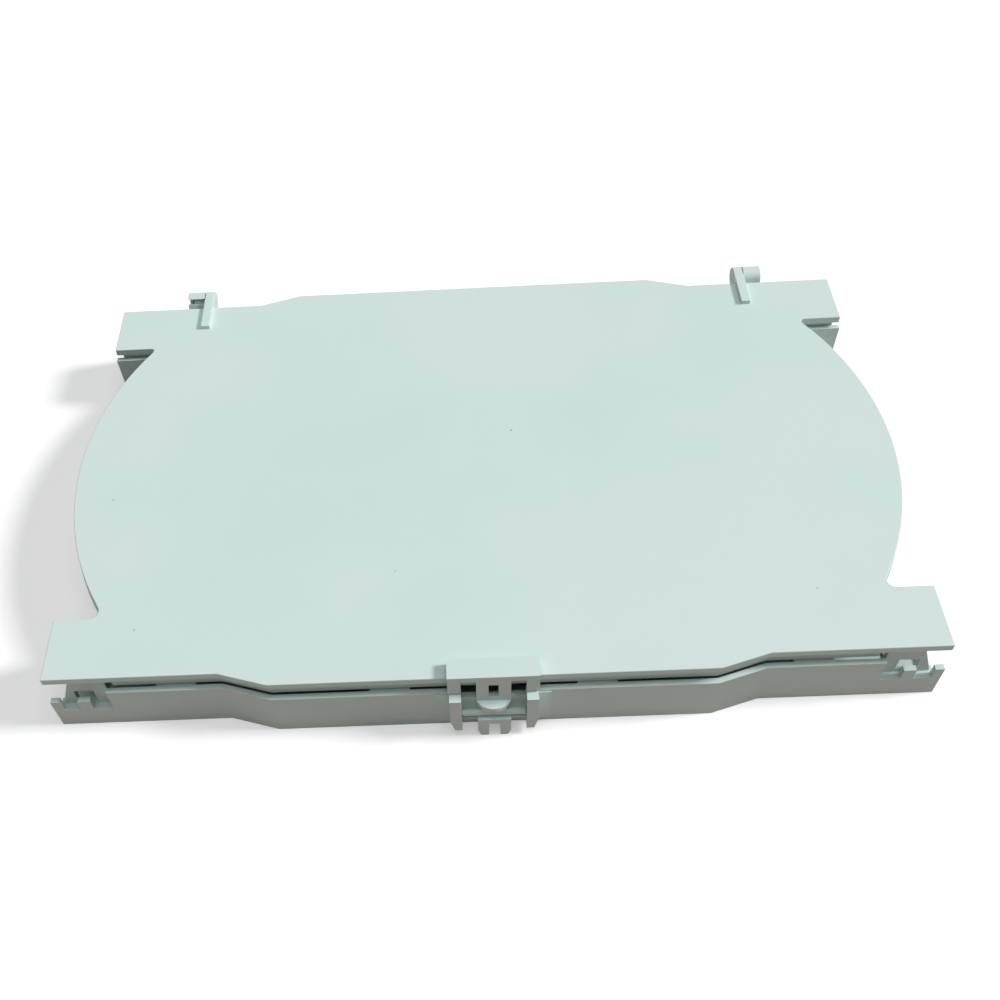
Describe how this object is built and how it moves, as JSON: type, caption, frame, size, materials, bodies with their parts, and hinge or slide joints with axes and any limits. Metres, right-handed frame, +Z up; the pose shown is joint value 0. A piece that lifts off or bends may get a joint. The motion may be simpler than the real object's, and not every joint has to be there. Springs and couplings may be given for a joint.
{
  "type": "fibre splice tray",
  "caption": "Shallow moulded fibre splice tray with round ends, four open-ended ears, a flat hinged cover, a front snap catch and comb-shaped splice holders inside",
  "frame": {"origin": "middle of the footprint on the plane of the tray's underside", "axes": "+X along the tray to the right as seen from the catch, +Y from the catch to the cover's hinge, +Z up out of the cover"},
  "size_m": [0.277, 0.1818, 0.0295],
  "materials": {
    "tray_plastic": "pale grey-green moulded ABS, satin",
    "holder_plastic": "off-white moulded plastic, matt"
  },
  "bodies": {
    "tray": {"base_tray": "tray_plastic", "splice_holder_front": "holder_plastic", "splice_holder_rear": "holder_plastic"},
    "cover": {"cover": "tray_plastic"},
    "catch": {"front_catch": "tray_plastic"}
  },
  "joints": [
    {"name": "cover_hinge", "type": "hinge", "parent": "tray", "child": "cover", "pos_m": [0, 0.0872, 0.0243], "axis": [-1, 0, 0], "range_deg": [0, 110]},
    {"name": "catch_hinge", "type": "hinge", "parent": "tray", "child": "catch", "pos_m": [0, -0.0889, 0.011], "axis": [1, 0, 0], "range_deg": [0, 32]}
  ]
}
